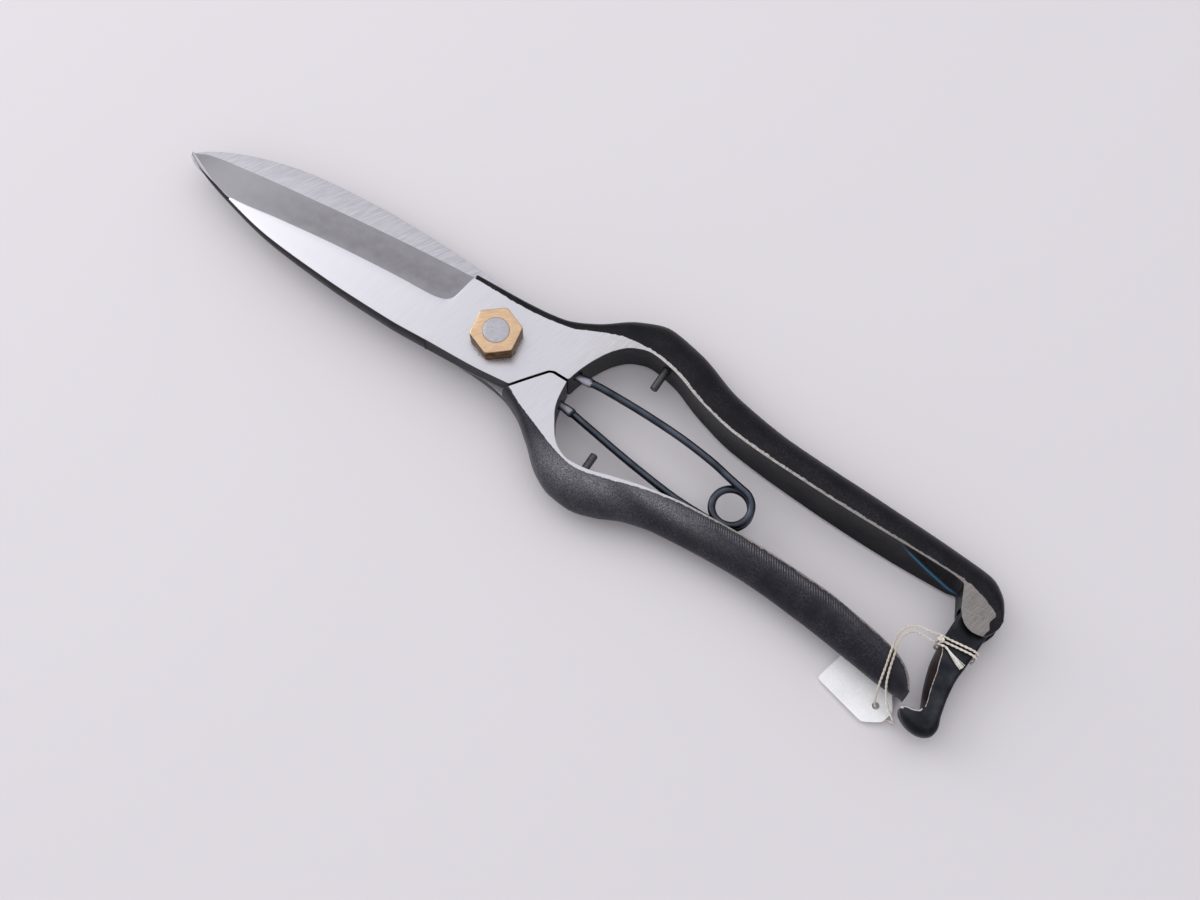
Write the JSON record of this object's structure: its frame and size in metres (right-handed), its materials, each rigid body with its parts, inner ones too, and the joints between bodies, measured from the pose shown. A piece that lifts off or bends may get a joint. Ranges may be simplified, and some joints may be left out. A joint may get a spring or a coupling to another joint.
{
  "type": "floral snips",
  "caption": "Forged snips with half-lapped blades on a nutted bolt, bowed handles, a wire return spring and a swinging end latch.",
  "frame": {"origin": "on the pivot axis, at the bolt head's flat underside", "axes": "+X towards the blade tips, +Z along the pivot axis towards the nut, the front forging's handle on the -Y side"},
  "size_m": [0.2478, 0.0604, 0.0183],
  "materials": {
    "front_forging": "black forge scale with ground flats and edges",
    "rear_forging": "black forge scale with ground flats and edges",
    "bolt": "ground flush",
    "nut": "satin",
    "spring": "blued wire",
    "peg": "dark, plain",
    "latch": "black forge scale, edges worn bright",
    "pin": "plain",
    "paper": "matt white",
    "cotton": "twisted, undyed"
  },
  "bodies": {
    "front_half": {"front_blade_handle": "front_forging", "pivot_bolt": "bolt", "pivot_nut": "nut", "front_peg": "peg", "latch_pin": "pin", "return_spring": "spring"},
    "rear_half": {"rear_blade_handle": "rear_forging", "rear_peg": "peg"},
    "latch": {"latch_hook": "latch", "tag": "paper", "tag_string": "cotton"}
  },
  "joints": [
    {"name": "pivot", "type": "hinge", "parent": "front_half", "child": "rear_half", "pos_m": [0, 0, 0.00775], "axis": [0, 0, -1], "range_deg": [0, 24], "stiffness_Nm_per_rad": 0.5, "springref_deg": 28.65, "deforming": ["return_spring", "tag_string"]},
    {"name": "latch_swing", "type": "hinge", "parent": "front_half", "child": "latch", "pos_m": [-0.1412, -0.0052, 0.00775], "axis": [0, 0, 1], "range_deg": [-7, 90]}
  ]
}
